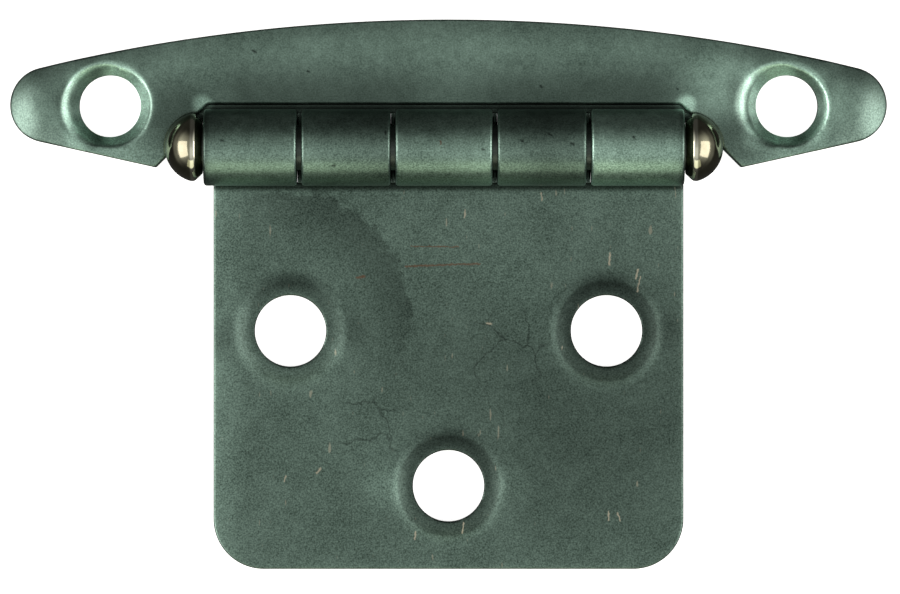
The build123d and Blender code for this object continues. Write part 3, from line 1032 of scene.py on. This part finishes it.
def satinSteel(name):
    # Sheet steel with a thin dark nickel plate over a fine tumbled grain: soft, wide highlights broken
    #  by grain, cloudy patches from handling, an old stain with a dark rim, rub rings and small scratches,
    #  with painted highlights and painted shade over them
    material, tree, shader, place = newMaterial(name)
    at = whereabouts(tree, place)
    grain = addNode(tree, "ShaderNodeTexNoise", None, {
        "Vector": place, "Scale": perMetre(satin["grain"]), "Detail": 1.5, "Roughness": 0.6}).outputs["Fac"]
    mottle = addNode(tree, "ShaderNodeTexNoise", None, {
        "Vector": place, "Scale": perMetre(satin["mottle"]),
        "Detail": 5.0, "Roughness": 0.65}).outputs["Fac"]
    cloud = addNode(tree, "ShaderNodeTexNoise", None, {
        "Vector": place, "Scale": perMetre(satin["cloud"]), "Detail": 3.0, "Distortion": 0.6}).outputs["Fac"]

    # Light or dark by grain, mottling and cloud noise together, with the smoothest grain on the wing
    share = addNode(tree, "ShaderNodeMath", timesPlus, {0: mottle, 1: 0.26, 2: -0.13}).outputs[0]
    share = addNode(tree, "ShaderNodeMath", timesPlus, {0: cloud, 1: 0.45, 2: share}).outputs[0]
    coarse = addNode(tree, "ShaderNodeMapRange", None, {
        "Value": at["Y"], "From Min": -3 * mm, "From Max": 3 * mm,
        "To Min": 1.25, "To Max": 0.75}).outputs[0]
    fine = addNode(tree, "ShaderNodeMath", minus, {0: grain, 1: 0.5}).outputs[0]
    share = addNode(tree, "ShaderNodeMath", timesPlus, {0: fine, 1: coarse, 2: share}).outputs[0]
    share = addNode(tree, "ShaderNodeMapRange", None, {
        "Value": share, "From Min": -0.22, "From Max": 0.67}).outputs[0]
    dark, light = linearColor(satin["dark"]), linearColor(satin["light"])
    color = addNode(tree, "ShaderNodeMix", mixColor, {
        "Factor": share, "A": dark, "B": light}).outputs["Result"]

    # All that lightens or darkens the plate, each as the share of light that it keeps. The flat leaf is
    # duller than the rolled barrel, and lightest along its left edge
    leftEdge = addNode(tree, "ShaderNodeMix", mixValue, {
        "Factor": at["onLeaf"], "A": 1.0, "B": at["leftEdge"]}).outputs["Result"]
    tones = [at["leafDull"], leftEdge, knuckleToneAndEndShade(tree, at), wingTone(tree, at)]
    # Painted highlights and painted shade in soft spots
    for x, y, reach, kept in satin["lightAndShadeSpots"]:
        tones.append(softSpot(tree, at["flat"], x, y, 0.2 * reach, reach, kept))
    # Painted shade low in the fold between the barrel and the plates, on the strap, the slot feet and the
    # strap ends
    foldShade = product(tree, (at["inFold"], at["lowDown"], at["alongBarrel"]))
    for mark in (foldShade, dropStain(tree, at, mottle), fineCracks(tree, at["flat"])):
        tones.append(addNode(tree, "ShaderNodeMath", minus, {0: 1.0, 1: mark}).outputs[0])
    for x, y, kept in satin["rings"]:
        tones.append(softSpot(tree, at["flat"], x, y, *satin["ringFade"], kept))
    level = product(tree, tones)
    level = addNode(tree, "ShaderNodeMath", least, {0: level, 1: satin["brightest"]}).outputs[0]
    color = addNode(tree, "ShaderNodeVectorMath", scaled, {0: color, "Scale": level}).outputs[0]
    color = addNode(tree, "ShaderNodeVectorMath", least, {0: color, 1: (0.95, 0.95, 0.95)}).outputs[0]

    # Fine upright flecks, thickest low on the right, with the placed scratches, rust and pits
    upright = addNode(tree, "ShaderNodeMapping", None, {
        "Vector": place, "Scale": (1.0, 0.22, 1.0)}).outputs[0]
    fleck = addNode(tree, "ShaderNodeTexNoise", None, {
        "Vector": upright, "Scale": perMetre(0.32), "Detail": 1.0}).outputs["Fac"]
    fleck = addNode(tree, "ShaderNodeMath", timesPlus, {0: cloud, 1: 0.25, 2: fleck}).outputs[0]
    bare = addNode(tree, "ShaderNodeMapRange", None, {
        "Value": fleck, "From Min": 0.875, "From Max": 0.93, "To Max": 0.45}).outputs[0]
    bare = product(tree, (bare, at["onLeaf"]))
    covers = markCovers(tree, at["flat"])
    bare = addNode(tree, "ShaderNodeMath", most, {0: bare, 1: covers["scratches"]}).outputs[0]
    for cover, strength, tint in (
            (bare, 1.0, "bareMetal"), (covers["rust"], 0.7, "rustColor"), (covers["pits"], 0.8, "pitColor")):
        cover = product(tree, (cover, strength))
        color = addNode(tree, "ShaderNodeMix", mixColor, {
            "Factor": cover, "A": color, "B": linearColor(satin[tint])}).outputs["Result"]
    linkSurface(tree, shader, color, mottle, satin["roughness"], grain, 0.3)
    # A breath of clear lacquer whitens the brightest rolls
    shader.inputs["Coat Weight"].default_value = 0.12
    shader.inputs["Coat Roughness"].default_value = 0.3
    return material


def drawnSteel(name):
    # Plain cold drawn rod, seen only in the slots: fine lines along it
    material, tree, shader, place = newMaterial(name)
    stretched = addNode(tree, "ShaderNodeMapping", None, {
        "Vector": place, "Scale": (0.1, 1.0, 1.0)}).outputs[0]
    lines = addNode(tree, "ShaderNodeTexNoise", None, {
        "Vector": stretched, "Scale": perMetre(0.08), "Detail": 3.0}).outputs["Fac"]
    color = addNode(tree, "ShaderNodeMix", mixColor, {
        "Factor": lines, "A": linearColor("#3d423f"), "B": linearColor("#6a716d")}).outputs["Result"]
    tree.links.new(color, shader.inputs["Base Color"])
    shader.inputs["Roughness"].default_value = 0.38
    return material


nickel = {
    "dark": "#6b6856",
    "light": "#a19d88",
    # Colour of the painted highlight on the band at the widest part
    "paintedHighlight": "#d8d4c2",
    "haze": 0.7,
    "roughness": (0.05, 0.14),
    # Where the painted highlight band lies, and its fade
    "band": 19.95,
    "bandFade": (0.1, 0.25),
}


def polishedNickel(name):
    # Barrel-polished nickel plate, faintly yellow: near mirror gloss with soft haze and fine scratches, and
    # a painted highlight on the band at the widest part
    material, tree, shader, place = newMaterial(name)
    haze = addNode(tree, "ShaderNodeTexNoise", None, {
        "Vector": place, "Scale": perMetre(nickel["haze"]), "Detail": 4.0}).outputs["Fac"]
    dark, light = linearColor(nickel["dark"]), linearColor(nickel["light"])
    color = addNode(tree, "ShaderNodeMix", mixColor, {
        "Factor": haze, "A": dark, "B": light}).outputs["Result"]
    # Painted highlight on the narrow band at the widest part
    gap = addNode(tree, "ShaderNodeSeparateXYZ", None, {0: place}).outputs["X"]
    for middle in (barrel["shift"], nickel["band"]):
        gap = addNode(tree, "ShaderNodeMath", minus, {0: gap, 1: middle * mm}).outputs[0]
        gap = addNode(tree, "ShaderNodeMath", absolute, {0: gap}).outputs[0]
    near, far = nickel["bandFade"]
    paintedHighlight = addNode(tree, "ShaderNodeMapRange", smooth, {
        "Value": gap, "From Min": near * mm, "From Max": far * mm, "To Min": 1.0, "To Max": 0.0}).outputs[0]
    color = addNode(tree, "ShaderNodeMix", mixColor, {
        "Factor": paintedHighlight, "A": color, "B": linearColor(nickel["paintedHighlight"])}).outputs["Result"]
    linkSurface(tree, shader, color, haze, nickel["roughness"], haze, 0.2)
    return material


sheetFinish = satinSteel("satin plated sheet steel")
rodFinish = drawnSteel("cold drawn steel rod")
tipFinish = polishedNickel("polished nickel plate")

knuckleTree = curlTree()
buildWing(knuckleTree, sheetFinish)
buildLeaf(knuckleTree, sheetFinish)
buildTip("rightButtonTip", "right_pin_tip", 1, tipFinish)
buildTip("leftButtonTip", "left_pin_tip", -1, tipFinish)
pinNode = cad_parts["hinge_pin"]
pinNode.data.materials.clear()
pinNode.data.materials.append(rodFinish)
print("pieces and finishes done")


# Floor, camera and light, in metres

studio = {
    "paper": "#f4f4f2",
    "paperGlow": 0.8,
    "lens": 300,
    "camera": (0.00012, -0.0119, 0.5995),
    # Name, place, width, height, power, color
    "lamps": (
        ("overhead", (0, -0.45, 1.25), 0.9, 0.9, 0.35, "#fdfffb"),
        ("left side", (-0.72, -0.08, 0.47), 0.71, 0.56, 3.6, "#fff8f6"),
        ("right side", (0.72, -0.08, 0.47), 0.71, 0.56, 3.6, "#fff8f6"),
        ("front", (0, -0.8, 0.42), 1.2, 0.5, 2.0, "#fbffdf"),
    ),
    "air": "#fbfffa",
    "ceilingWay": (0, -0.34, 0.94),
    "ceiling": 0.56,
    "sideWalls": 1.5,
    # How the walls fade by height and towards the back and front: from, to, values
    "wallFoot": (-0.2, 0.0, 0.0, 1.0),
    "wallRise": (0.1, 0.36, 0.25, 1.0),
    "wallNarrow": (0.3, 0.85, 1.0, 0.0),
    "everywhere": 0.055,
}


def paperFloor():
    mesh = bpy.data.meshes.new("floor")
    corners = [(-3, -3, -0.00002), (3, -3, -0.00002), (3, 3, -0.00002), (-3, 3, -0.00002)]
    mesh.from_pydata(corners, [], [(0, 1, 2, 3)])
    floor = bpy.data.objects.new("floor", mesh)
    bpy.context.scene.collection.objects.link(floor)
    paper = bpy.data.materials.new("white paper lit from below")
    paper.use_nodes = True
    inputs = paper.node_tree.nodes["Principled BSDF"].inputs
    inputs["Base Color"].default_value = linearColor(studio["paper"])
    inputs["Roughness"].default_value = 0.9
    inputs["Specular IOR Level"].default_value = 0.0
    inputs["Emission Color"].default_value = linearColor("#ffffff")
    inputs["Emission Strength"].default_value = studio["paperGlow"]
    mesh.materials.append(paper)
    floor.visible_glossy = False  # keeps the bright table out of the metal's edges


def areaLight(name, place, width, height, power, color):
    # A lamp that shines at the hinge
    lamp = bpy.data.lights.new(name, "AREA")
    lamp.shape = "RECTANGLE"
    lamp.size, lamp.size_y = width, height
    lamp.energy = power
    lamp.color = linearColor(color)[:3]
    holder = bpy.data.objects.new(name, lamp)
    holder.location = place
    holder.rotation_euler = (-Vector(place)).to_track_quat("-Z", "Y").to_euler()
    holder.visible_camera = False
    bpy.context.scene.collection.objects.link(holder)


def studioRoom():
    # A broad pale ceiling towards the front, paler walls to both sides, darker behind and below
    world = bpy.data.worlds.new("studio room")
    world.use_nodes = True
    tree = world.node_tree
    way = addNode(tree, "ShaderNodeTexCoord").outputs["Generated"]
    axes = addNode(tree, "ShaderNodeSeparateXYZ", None, {0: way}).outputs
    ceiling = addNode(tree, "ShaderNodeVectorMath", {"operation": "DOT_PRODUCT"}, {
        0: way, 1: studio["ceilingWay"]}).outputs["Value"]
    ceiling = addNode(tree, "ShaderNodeMath", most, {0: ceiling, 1: 0.0}).outputs[0]
    ceiling = addNode(tree, "ShaderNodeMath", {"operation": "POWER"}, {0: ceiling, 1: 3.2}).outputs[0]
    sideWall = addNode(tree, "ShaderNodeMath", absolute, {0: axes["X"]}).outputs[0]
    sideWall = addNode(tree, "ShaderNodeMath", {"operation": "POWER"}, {0: sideWall, 1: 1.5}).outputs[0]
    offSide = addNode(tree, "ShaderNodeMath", absolute, {0: axes["Y"]}).outputs[0]
    # The walls end at the floor, are dimmer low down, and narrow towards the back and front
    shares = [sideWall]
    for value, key in ((axes["Z"], "wallFoot"), (axes["Z"], "wallRise"), (offSide, "wallNarrow")):
        low, high, atLow, atHigh = studio[key]
        share = addNode(tree, "ShaderNodeMapRange", smooth, {
            "Value": value, "From Min": low, "From Max": high, "To Min": atLow, "To Max": atHigh})
        shares.append(share.outputs[0])
    sideWall = product(tree, shares)
    total = addNode(tree, "ShaderNodeMath", timesPlus, {
        0: ceiling, 1: studio["ceiling"], 2: studio["everywhere"]}).outputs[0]
    total = addNode(tree, "ShaderNodeMath", timesPlus, {
        0: sideWall, 1: studio["sideWalls"], 2: total}).outputs[0]
    air = tree.nodes["Background"]
    air.inputs["Color"].default_value = linearColor(studio["air"])
    tree.links.new(total, air.inputs["Strength"])
    bpy.context.scene.world = world


paperFloor()
camera = bpy.data.cameras.new("camera")
camera.lens = studio["lens"]
camera.sensor_width = 36
camera.clip_start = 0.05
cameraHolder = bpy.data.objects.new("camera", camera)
cameraHolder.location = studio["camera"]
bpy.context.scene.collection.objects.link(cameraHolder)
bpy.context.scene.camera = cameraHolder
for lamp in studio["lamps"]:
    areaLight(*lamp)
studioRoom()
bpy.context.scene.view_settings.view_transform = "Standard"
print("studio done")

print("hinge done")
